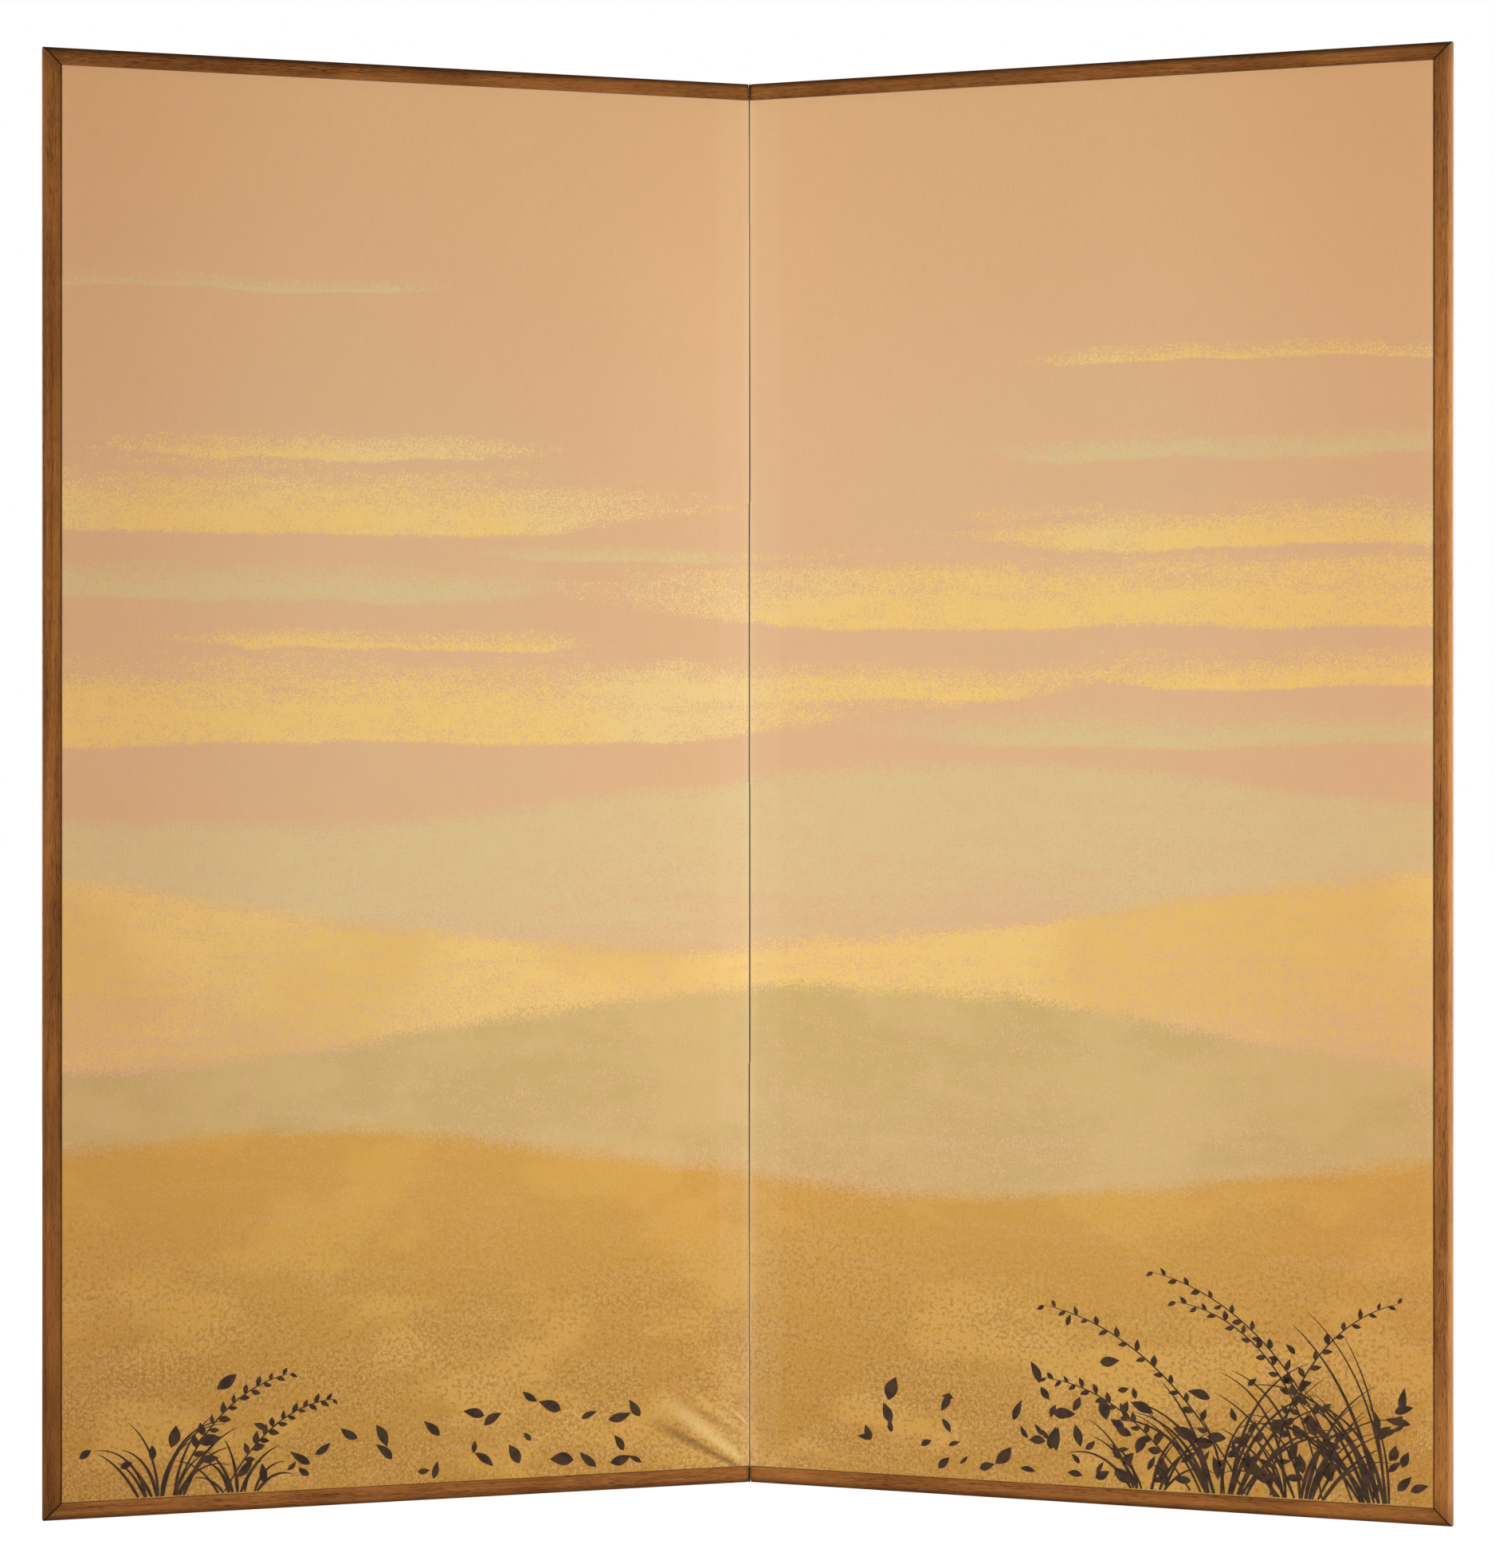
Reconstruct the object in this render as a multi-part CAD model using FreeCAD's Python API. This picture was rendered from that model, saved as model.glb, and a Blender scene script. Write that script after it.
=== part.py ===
import FreeCAD, Part
import math
import os

# Two-panel folding screen: paper-covered lattice panels in a wooden frame, joined by folded paper hinges.
# Standing frame: origin at the centre of the footprint on the floor, +Z up, picture side towards -Y.
# Panel frame: x from the fold line outwards, y from the front fold line to the back, z up from the floor.

# Whole screen
panel_height = 1700.0
panel_width = 850.0
panel_depth = 20.0
panel_turn_deg = 18.0

# Wooden frame on three sides of each panel, mitred at the outer corners
frame_face = 20.0
frame_outer_arris = 6.5
frame_inner_arris = 0.5
mitre_gap = 0.6
stile_gap = 0.9
rail_gap = 0.3

# Layers, counted inwards from the frame's front and back faces
picture_recess = 0.6
picture_thickness = 0.5
under_paper_thickness = 0.8

# Lattice core
core_member_width = 24.0
lattice_bar_width = 14.0
upright_bar_count = 3
cross_bar_count = 9
corner_board_leg = 70.0
corner_board_thickness = 6.0
tenon_length = 12.0
tenon_height = 16.0
tenon_thickness = 6.0
tenon_fit = 0.1

# Bamboo nails that hold the frame to the core
nail_radius = 1.25
nail_length = 36.0
nail_fit = 0.1
stile_nail_count = 5
stile_nail_end_distance = 46.0
rail_nail_count = 3
rail_nail_end_distance = 60.0

# Paper hinges: each strip crosses the seam from one panel's front to the other panel's back
fold_clearance = 0.15
seam_half_gap = 0.95
hinge_paper_thickness = 0.3
hinge_flap_width = 40.0
hinge_strip_gap = 2.0
hinge_section_shares = (0.1, 0.2, 0.2, 0.2, 0.2, 0.1)

# Planes across the panel's depth
front_plane = fold_clearance
back_plane = front_plane + panel_depth
back_fold_y = back_plane + fold_clearance
middle_plane = front_plane + panel_depth / 2
under_paper_depth = picture_recess + picture_thickness
core_depth = under_paper_depth + under_paper_thickness
core_thickness = panel_depth - 2 * core_depth
core_front = front_plane + core_depth

# Edges of the papered body inside the frame
body_inner = seam_half_gap
body_outer = panel_width - frame_face - stile_gap
body_bottom = frame_face + rail_gap
body_top = panel_height - body_bottom
lattice_inner = body_inner + core_member_width
lattice_outer = body_outer - core_member_width
lattice_bottom = body_bottom + core_member_width
lattice_top = body_top - core_member_width

# The front fold line's distance behind the centre of the footprint
outer_arris = min(frame_outer_arris, panel_depth / 2, frame_face)
turn = math.radians(panel_turn_deg)
front_reach = (
    (panel_width - outer_arris) * math.sin(turn)
    - (front_plane + outer_arris) * math.cos(turn)
    + outer_arris
)
back_reach = back_fold_y * math.cos(turn) + hinge_paper_thickness / 2
fold_line_y = (front_reach - back_reach) / 2

Vector = FreeCAD.Vector
origin = Vector(0, 0, 0)
along_x = Vector(1, 0, 0)
along_y = Vector(0, 1, 0)
along_z = Vector(0, 0, 1)


def block(x_range, y_range, z_range):
    """Box between two places on each axis."""
    size = [high - low for low, high in (x_range, y_range, z_range)]
    return Part.makeBox(*size, Vector(x_range[0], y_range[0], z_range[0]))


def extruded(points, direction):
    """Prism on a closed polygon."""
    outline = Part.makePolygon(points + points[:1])
    return Part.Face(outline).extrude(direction)


def rounded_outline(corners, radii):
    """Closed wire through right-angled corners, each rounded with its own radius."""
    arcs = []
    for i, corner in enumerate(corners):
        behind = (corners[i - 1] - corner).normalize()
        ahead = (corners[(i + 1) % len(corners)] - corner).normalize()
        bulge = (behind + ahead) * (radii[i] * (1 - math.sqrt(2) / 2))
        arcs.append((corner + behind * radii[i], corner + bulge, corner + ahead * radii[i]))
    edges = []
    for i, (start, middle, end) in enumerate(arcs):
        edges.append(Part.Arc(start, middle, end).toShape())
        next_start = arcs[(i + 1) % len(arcs)][0]
        edges.append(Part.LineSegment(end, next_start).toShape())
    return Part.Wire(edges)


def spaced(low, high, count):
    """Places of pieces spread evenly between two ends, none at the ends."""
    step = (high - low) / (count + 1)
    return [low + step * (i + 1) for i in range(count)]


def spread(low, high, count):
    """Places of pieces spread evenly from one end to the other."""
    step = (high - low) / (count - 1)
    return [low + step * i for i in range(count)]


def below_face(side, depth):
    """The plane that lies this deep below the frame's front or back face."""
    if side == "front":
        return front_plane + depth
    return back_plane - depth


def layer(side, depth, thickness, x_range, z_range):
    """A flat layer of the panel, counted from the front or the back face."""
    limits = sorted((below_face(side, depth), below_face(side, depth + thickness)))
    return block(x_range, limits, z_range)


def placed(shape, hand):
    """Turn a shape of the panel frame to its place in the standing screen."""
    standing = shape.copy()
    standing.rotate(origin, along_z, -panel_turn_deg)
    standing.translate(along_y * fold_line_y)
    if hand == "left":
        standing = standing.mirror(origin, along_x)
    return standing


def hinge_sections():
    """Each hinge strip's number from the top, and the heights between which it lies."""
    sections = []
    top = panel_height
    for number, share in enumerate(hinge_section_shares, start=1):
        bottom = top - share * panel_height
        sections.append((number, (bottom + hinge_strip_gap / 2, top - hinge_strip_gap / 2)))
        top = bottom
    return sections


def between_rails(heights):
    """The part of a hinge strip's height where it is pasted down: not over the frame's rails."""
    low, high = heights
    return max(low, body_bottom), min(high, body_top)


def front_hand(number):
    """The panel whose front a strip starts on: strips take turns, and end on the other panel's back."""
    return "left" if number % 2 else "right"


def other_hand(hand):
    return "right" if hand == "left" else "left"


def flap_side(number, hand):
    """The side of this panel on which a strip's flap is pasted."""
    return "front" if front_hand(number) == hand else "back"


# Frame


def mitre_offset():
    """Half the mitre's open line, measured along the frame."""
    return mitre_gap / 2 * math.sqrt(2)


def nail_places():
    """Start and direction of every nail of one panel."""
    low = stile_nail_end_distance
    high = panel_height - stile_nail_end_distance
    heights = spread(low, high, stile_nail_count) + [frame_face / 2, panel_height - frame_face / 2]
    nails = [(Vector(panel_width, middle_plane, z), along_x * -1) for z in heights]
    near = body_inner + rail_nail_end_distance
    far = panel_width - rail_nail_end_distance
    for x in spread(near, far, rail_nail_count):
        nails.append((Vector(x, middle_plane, 0), along_z))
        nails.append((Vector(x, middle_plane, panel_height), along_z * -1))
    return nails


def nail(start, direction, radius):
    return Part.makeCylinder(radius, nail_length, start, direction)


def nail_holes():
    """The space that the nails take, with their fit round them."""
    return Part.makeCompound([nail(*place, nail_radius + nail_fit) for place in nail_places()])


def frame_nails():
    return Part.makeCompound([nail(*place, nail_radius) for place in nail_places()])


def frame_radii():
    """Radii at the inner front, outer front, outer back and inner back edges."""
    return (frame_inner_arris, outer_arris, outer_arris, frame_inner_arris)


def frame_outer_stile():
    """Upright frame member on the panel's free side, mitred at both ends."""
    inner = panel_width - frame_face
    corners = [
        Vector(inner, front_plane, 0),
        Vector(panel_width, front_plane, 0),
        Vector(panel_width, back_plane, 0),
        Vector(inner, back_plane, 0),
    ]
    bar = Part.Face(rounded_outline(corners, frame_radii())).extrude(along_z * panel_height)
    offset = mitre_offset()
    mitred = extruded(
        [
            Vector(inner, front_plane, frame_face + offset),
            Vector(panel_width, front_plane, offset),
            Vector(panel_width, front_plane, panel_height - offset),
            Vector(inner, front_plane, panel_height - frame_face - offset),
        ],
        along_y * panel_depth,
    )
    return bar.common(mitred).cut(nail_holes())


def frame_rail(end):
    """Top or bottom frame member, square at the seam and mitred at the free side."""
    outer_z = panel_height if end == "top" else 0
    inner_z = panel_height - frame_face if end == "top" else frame_face
    corners = [
        Vector(seam_half_gap, front_plane, inner_z),
        Vector(seam_half_gap, front_plane, outer_z),
        Vector(seam_half_gap, back_plane, outer_z),
        Vector(seam_half_gap, back_plane, inner_z),
    ]
    length = panel_width - seam_half_gap
    bar = Part.Face(rounded_outline(corners, frame_radii())).extrude(along_x * length)
    offset = mitre_offset()
    mitred = extruded(
        [
            Vector(seam_half_gap, front_plane, outer_z),
            Vector(panel_width - offset, front_plane, outer_z),
            Vector(panel_width - frame_face - offset, front_plane, inner_z),
            Vector(seam_half_gap, front_plane, inner_z),
        ],
        along_y * panel_depth,
    )
    return bar.common(mitred).cut(nail_holes())


# Lattice core


def core_bar(x_range, z_range):
    """Lattice member over the core's whole thickness."""
    return block(x_range, (core_front, core_front + core_thickness), z_range)


def rail_span(end):
    """Heights of the core's top or bottom rail."""
    if end == "top":
        return (lattice_top, body_top)
    return (body_bottom, lattice_bottom)


def tenons(end, fit):
    """Stub tenons at both ends of a core rail, larger by the fit where they cut their mortises."""
    middle_z = sum(rail_span(end)) / 2
    z_range = (middle_z - tenon_height / 2 - fit, middle_z + tenon_height / 2 + fit)
    y_range = (middle_plane - tenon_thickness / 2 - fit, middle_plane + tenon_thickness / 2 + fit)
    inner = block((lattice_inner - tenon_length - fit, lattice_inner), y_range, z_range)
    outer = block((lattice_outer, lattice_outer + tenon_length + fit), y_range, z_range)
    return inner, outer


def core_rail(end):
    rail = core_bar((lattice_inner, lattice_outer), rail_span(end))
    for tenon in tenons(end, 0):
        rail = rail.fuse(tenon)
    return rail.removeSplitter().cut(nail_holes())


def core_stile(x_range):
    stile = core_bar(x_range, (body_bottom, body_top))
    for end in ("top", "bottom"):
        for mortise in tenons(end, tenon_fit):
            stile = stile.cut(mortise)
    return stile.cut(nail_holes())


def across(middle):
    """Limits of a lattice bar about its middle."""
    return (middle - lattice_bar_width / 2, middle + lattice_bar_width / 2)


def upright_places():
    return spaced(lattice_inner, lattice_outer, upright_bar_count)


def cross_places():
    return spaced(lattice_bottom, lattice_top, cross_bar_count)


def lap(x, z, y_range):
    """Half of a crossing of two bars, taken out of one of them."""
    return block(across(x), y_range, across(z))


def core_upright_bars():
    """Upright bars, cut away in front where the cross bars pass."""
    bars = []
    for x in upright_places():
        bar = core_bar(across(x), (lattice_bottom, lattice_top))
        for z in cross_places():
            bar = bar.cut(lap(x, z, (core_front, middle_plane)))
        bars.append(bar)
    return Part.makeCompound(bars)


def core_cross_bars():
    """Cross bars, cut away behind where the upright bars pass."""
    bars = []
    for z in cross_places():
        bar = core_bar((lattice_inner, lattice_outer), across(z))
        for x in upright_places():
            bar = bar.cut(lap(x, z, (middle_plane, core_front + core_thickness)))
        bars.append(bar)
    return Part.makeCompound(bars)


def core_corner_boards():
    """Three-cornered boards that keep the lattice square."""
    boards = []
    front = middle_plane - corner_board_thickness / 2
    for x, x_way in ((lattice_inner, 1), (lattice_outer, -1)):
        for z, z_way in ((lattice_bottom, 1), (lattice_top, -1)):
            corner = Vector(x, front, z)
            points = [
                corner,
                corner + along_x * (corner_board_leg * x_way),
                corner + along_z * (corner_board_leg * z_way),
            ]
            boards.append(extruded(points, along_y * corner_board_thickness))
    return Part.makeCompound(boards)


# Papers and hinges


def face_paper(side):
    """The picture, or the paper on the back."""
    x_range = (body_inner, body_outer)
    return layer(side, picture_recess, picture_thickness, x_range, (body_bottom, body_top))


def under_paper(side, hand):
    """Pasted paper layers on the lattice, let in where hinge flaps lie on them."""
    z_range = (body_bottom, body_top)
    x_range = (body_inner, body_outer)
    paper = layer(side, under_paper_depth, under_paper_thickness, x_range, z_range)
    flap_range = (body_inner, body_inner + hinge_flap_width)
    for number, heights in hinge_sections():
        if flap_side(number, hand) == side:
            z_flap = between_rails(heights)
            flap = layer(side, under_paper_depth, hinge_paper_thickness, flap_range, z_flap)
            paper = paper.cut(flap)
    return paper


def hinge_flap(side, heights):
    """A strip's pasted end, with the turned-up edge that leads to the fold line."""
    low, high = between_rails(heights)
    edge = body_inner - hinge_paper_thickness
    far = body_inner + hinge_flap_width
    outer = below_face(side, 0)
    top = below_face(side, under_paper_depth)
    under = below_face(side, under_paper_depth + hinge_paper_thickness)
    points = [
        Vector(edge, outer, low),
        Vector(body_inner, outer, low),
        Vector(body_inner, top, low),
        Vector(far, top, low),
        Vector(far, under, low),
        Vector(edge, under, low),
    ]
    return extruded(points, along_z * (high - low))


def hinge_web(heights):
    """The strip's free part between its two creases, which are round about the two fold lines.

    The first and the last strip's free part runs on between the ends of the frame's rails.
    """
    low, high = heights
    radius = hinge_paper_thickness / 2
    front_left, front_right = Vector(-radius, 0, low), Vector(radius, 0, low)
    back_left, back_right = Vector(-radius, back_fold_y, low), Vector(radius, back_fold_y, low)
    edges = [
        Part.Arc(front_left, Vector(0, -radius, low), front_right),
        Part.LineSegment(front_right, back_right),
        Part.Arc(back_right, Vector(0, back_fold_y + radius, low), back_left),
        Part.LineSegment(back_left, front_left),
    ]
    outline = Part.Wire([edge.toShape() for edge in edges])
    return Part.Face(outline).extrude(along_z * (high - low))


def panel_nodes(hand):
    """Every piece that belongs to one panel."""
    return {
        "frame_top_rail": frame_rail("top"),
        "frame_bottom_rail": frame_rail("bottom"),
        "frame_outer_stile": frame_outer_stile(),
        "frame_nails": frame_nails(),
        "core_inner_stile": core_stile((body_inner, lattice_inner)),
        "core_outer_stile": core_stile((lattice_outer, body_outer)),
        "core_top_rail": core_rail("top"),
        "core_bottom_rail": core_rail("bottom"),
        "core_upright_bars": core_upright_bars(),
        "core_cross_bars": core_cross_bars(),
        "core_corner_boards": core_corner_boards(),
        "under_paper_front": under_paper("front", hand),
        "under_paper_back": under_paper("back", hand),
        "picture": face_paper("front"),
        "back_paper": face_paper("back"),
    }


def hinge_nodes():
    """Every hinge strip as its front flap, its web and its back flap."""
    nodes = {}
    for number, heights in hinge_sections():
        front_panel = front_hand(number)
        back_panel = other_hand(front_panel)
        name = f"hinge_{number}"
        nodes[f"{name}_front_flap"] = placed(hinge_flap("front", heights), front_panel)
        nodes[f"{name}_web"] = placed(hinge_web(heights), back_panel)
        nodes[f"{name}_back_flap"] = placed(hinge_flap("back", heights), back_panel)
    return nodes


def screen_nodes():
    nodes = {}
    for hand in ("left", "right"):
        for name, shape in panel_nodes(hand).items():
            nodes[f"{hand}_{name}"] = placed(shape, hand)
    nodes.update(hinge_nodes())
    return nodes


os.makedirs("parts", exist_ok=True)
nodes = screen_nodes()
for node, shape in nodes.items():
    shape.exportStep(f"parts/{node}.step")
    print(node, "solids", len(shape.Solids), "valid", shape.isValid(), "volume", round(shape.Volume, 1))

whole = Part.makeCompound(list(nodes.values())).BoundBox
print("low corner", round(whole.XMin, 3), round(whole.YMin, 3), round(whole.ZMin, 3))
print("high corner", round(whole.XMax, 3), round(whole.YMax, 3), round(whole.ZMax, 3))
print("front fold line", 0.0, round(fold_line_y, 4))
print(
    "back fold lines",
    round(back_fold_y * math.sin(turn), 4),
    round(fold_line_y + back_fold_y * math.cos(turn), 4),
)
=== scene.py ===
import math
import random

import bpy
import numpy as np
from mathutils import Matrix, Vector


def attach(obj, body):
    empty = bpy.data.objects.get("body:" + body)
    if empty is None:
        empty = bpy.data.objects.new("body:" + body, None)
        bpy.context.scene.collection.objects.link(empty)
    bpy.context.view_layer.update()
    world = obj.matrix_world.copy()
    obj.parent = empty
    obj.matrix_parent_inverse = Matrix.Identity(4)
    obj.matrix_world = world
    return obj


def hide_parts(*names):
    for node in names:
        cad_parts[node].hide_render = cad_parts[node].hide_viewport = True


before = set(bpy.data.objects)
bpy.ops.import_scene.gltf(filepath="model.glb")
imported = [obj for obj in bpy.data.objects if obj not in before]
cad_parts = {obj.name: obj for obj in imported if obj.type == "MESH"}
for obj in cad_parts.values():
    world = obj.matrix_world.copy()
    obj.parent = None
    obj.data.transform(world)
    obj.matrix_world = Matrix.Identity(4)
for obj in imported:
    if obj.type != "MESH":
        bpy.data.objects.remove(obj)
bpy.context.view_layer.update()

# Folding screen: two picture panels in oak frames, half open, on a white studio floor.
# A panel's own measures: u from the fold line outwards, v from its front to its back, z up from the floor.

mm = 0.001

# Panels, as the maker's drawing has them
panel_turn = math.radians(18.0)
fold_line_y = 120.6874 * mm
panel_height = 1700.0 * mm
panel_width = 850.0 * mm
seam_edge = 0.95 * mm
free_edge = 829.1 * mm
sheet_foot = 20.3 * mm
sheet_head = 1679.7 * mm
front_face = 0.75 * mm
back_face = 19.55 * mm
sheet_thickness = 0.5 * mm
hinge_lines = [170.0 * mm, 510.0 * mm, 850.0 * mm, 1190.0 * mm, 1530.0 * mm]
hinge_pitch = 340.0 * mm
strip_count = 6
frame_face = 20.0 * mm

# How the stretched sheets lie
seam_lip = 0.2 * mm
bare_lip = 0.45 * mm
lip_overlap = 1.5 * mm
seam_lip_width = 5.0 * mm
seam_lip_rise = 0.45 * mm
edge_roll_width = 2.0 * mm
edge_roll = 0.25 * mm
flap_edge = 41.0 * mm
flap_slope = 2.0 * mm
flap_step = 0.14 * mm
sag_height = 0.05 * mm
sag_free_of_edge = 30.0 * mm
dressed_thickness = 0.96 * sheet_thickness
sheet_smoothing = math.radians(40)

# How fine their grids are
fine_reach = {"front": 130.0 * mm, "back": 12.0 * mm}
fine_step = 2.2 * mm
coarse_step = 8.5 * mm
lip_columns = (1.0 * mm, 3.2 * mm)
roll_line = 1.2 * mm
lip_rows = (-1.8 * mm, -1.4 * mm, 1.4 * mm, 1.8 * mm)


def on_panel(hand, u, v, z):
    """A place of a panel's own measures, in the standing screen."""
    x = u * math.cos(panel_turn) + v * math.sin(panel_turn)
    y = fold_line_y - u * math.sin(panel_turn) + v * math.cos(panel_turn)
    return (-x if hand == "left" else x), y, z


def smooth_step(low, high, value):
    """A smooth rise from 0 to 1 as the value goes from low to high."""
    share = np.clip((value - low) / (high - low), 0, 1)
    return share * share * (3 - 2 * share)


def nothing_selected():
    if bpy.context.object and bpy.context.object.mode != "OBJECT":
        bpy.ops.object.mode_set(mode="OBJECT")
    bpy.ops.object.select_all(action="DESELECT")


def only(piece):
    """Select one piece alone."""
    nothing_selected()
    piece.select_set(True)
    bpy.context.view_layer.objects.active = piece


def new_piece(name, points, faces, material):
    """A piece from its points and faces, selected alone."""
    mesh = bpy.data.meshes.new(name)
    mesh.from_pydata(points, [], faces)
    mesh.materials.append(material)
    piece = bpy.data.objects.new(name, mesh)
    bpy.context.scene.collection.objects.link(piece)
    only(piece)
    return piece


def turn_faces_outwards():
    """Make all faces of the selected piece look outwards."""
    bpy.ops.object.mode_set(mode="EDIT")
    bpy.ops.mesh.select_all(action="SELECT")
    bpy.ops.mesh.normals_make_consistent(inside=False)
    bpy.ops.object.mode_set(mode="OBJECT")


# Camera, at the photographer's place

camera_place = (0.094, -4.6033, 0.867)
camera_pitch = math.radians(90.0)
camera_heading = math.radians(1.17)
focal_length = 89.3
sensor_width = 36.0
upward_shift = -0.0095

bpy.ops.object.camera_add(location=camera_place)
camera = bpy.context.object
camera.name = "camera"
camera.rotation_euler = (camera_pitch, 0.0, camera_heading)
camera.data.lens = focal_length
camera.data.sensor_width = sensor_width
camera.data.shift_y = upward_shift
bpy.context.scene.camera = camera


# Materials


def srgb(red, green, blue):
    """A colour as an eye reads it off a swatch, 0 to 255, as linear light."""
    linear = []
    for part in (red, green, blue):
        share = part / 255
        linear.append(share / 12.92 if share <= 0.04045 else ((share + 0.055) / 1.055) ** 2.4)
    return (*linear, 1.0)


class Tree:
    """A node tree while it is being made: nodes are added one at a time and joined at once."""

    def __init__(self, owner, grain_space="3D"):
        owner.use_nodes = True
        self.nodes = owner.node_tree.nodes
        self.links = owner.node_tree.links
        self.nodes.clear()
        self.grain_space = grain_space

    def add(self, kind, sockets, **settings):
        """A new node: a socket is either joined to another node's or holds a value of its own."""
        node = self.nodes.new("ShaderNode" + kind)
        for name, value in settings.items():
            setattr(node, name, value)
        for name, value in sockets.items():
            if isinstance(value, bpy.types.NodeSocket):
                self.links.new(value, node.inputs[name])
            else:
                node.inputs[name].default_value = value
        return node

    def maths(self, operation, *values):
        return self.add("Math", dict(enumerate(values)), operation=operation).outputs[0]

    def vectors(self, operation, *values):
        return self.add("VectorMath", dict(enumerate(values)), operation=operation).outputs[0]

    def ease(self, value, low, high, start=0.0, end=1.0):
        """A value's smooth rise, or fall, from start to end as it goes from low to high."""
        sockets = {"Value": value, "From Min": low, "From Max": high, "To Min": start, "To Max": end}
        return self.add("MapRange", sockets, interpolation_type="SMOOTHSTEP").outputs[0]

    def noise(self, place, scale, detail=2.0, roughness=0.5, distortion=0.0):
        sockets = {
            "Vector": place,
            "Scale": scale,
            "Detail": detail,
            "Roughness": roughness,
            "Distortion": distortion,
        }
        return self.add("TexNoise", sockets, noise_dimensions=self.grain_space)

    def grains(self, place, scale):
        sockets = {"Vector": place, "Scale": scale}
        return self.add("TexVoronoi", sockets, voronoi_dimensions=self.grain_space, feature="F1")

    def blend(self, share, under, over, way="MIX"):
        sockets = {0: share, 6: under, 7: over}
        return self.add("Mix", sockets, data_type="RGBA", blend_type=way).outputs[2]

    def stretched(self, place, scale):
        return self.add("Mapping", {"Vector": place, "Scale": scale}, vector_type="POINT").outputs[0]

    def along_grain(self, place, grain_along, across, lengthwise):
        """The place drawn out for fibres much longer than wide, along a panel's x or z."""
        scale = (across, across, lengthwise) if grain_along == "z" else (lengthwise, across, across)
        return self.stretched(place, scale)

    def object_place(self):
        return self.add("TexCoord", {}).outputs["Object"]

    def cloth_place(self):
        """The place on a sheet: signed width from the fold line, and height, in metres."""
        return self.add("UVMap", {}, uv_map="Cloth").outputs[0]

    def length(self, vector):
        return self.add("VectorMath", {0: vector}, operation="LENGTH").outputs["Value"]

    def share_along(self, vector, way):
        """How far a vector reaches in a direction."""
        return self.add("VectorMath", {0: vector, 1: way}, operation="DOT_PRODUCT").outputs["Value"]

    def parts(self, vector):
        """The three numbers that a vector or colour is made of."""
        return self.add("SeparateXYZ", {0: vector}).outputs

    def panel_place(self, hand):
        """The place in the panel's own measures, for grain that runs along the frame."""
        turn = panel_turn if hand == "left" else -panel_turn
        sockets = {
            "Vector": self.object_place(),
            "Location": (0.0, fold_line_y, 0.0),
            "Rotation": (0.0, 0.0, turn),
        }
        return self.add("Mapping", sockets, vector_type="TEXTURE").outputs[0]

    def bump(self, height, distance, strength):
        sockets = {"Height": height, "Distance": distance, "Strength": strength}
        return self.add("Bump", sockets).outputs[0]

    def seen_directly(self):
        """1 where the camera, a mirror or glass sees the surface, and 0 where it lights the screen."""
        path = self.add("LightPath", {}).outputs
        either = self.maths("MAXIMUM", path["Is Camera Ray"], path["Is Glossy Ray"])
        return self.maths("MAXIMUM", either, path["Is Transmission Ray"])


class Finish(Tree):
    """A material while it is being made."""

    def __init__(self, name, grain_space="3D"):
        self.material = bpy.data.materials.new(name)
        super().__init__(self.material, grain_space)

    def done(self, colour, **sockets):
        """Close the material with a surface of this colour and these other sockets."""
        named = {name.replace("_", " "): value for name, value in sockets.items()}
        surface = self.add("BsdfPrincipled", {"Base Color": colour, **named})
        self.add("OutputMaterial", {"Surface": surface.outputs[0]})
        return self.material


# Oak: a brown for patina and painted shade, a darker brown for painted shade on the rails' arrises, the dark
# joint line, and painted light: how much lighter the bottom rails and the right stile are than the rest
patina_and_shade_brown = srgb(60, 33, 14)
arris_shade_brown = srgb(44, 24, 10)
joint_line = srgb(30, 17, 9)
lit_rail = (1.27, 1.34, 1.46, 1.0)
lit_stile = (1.24, 1.30, 1.38, 1.0)


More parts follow.
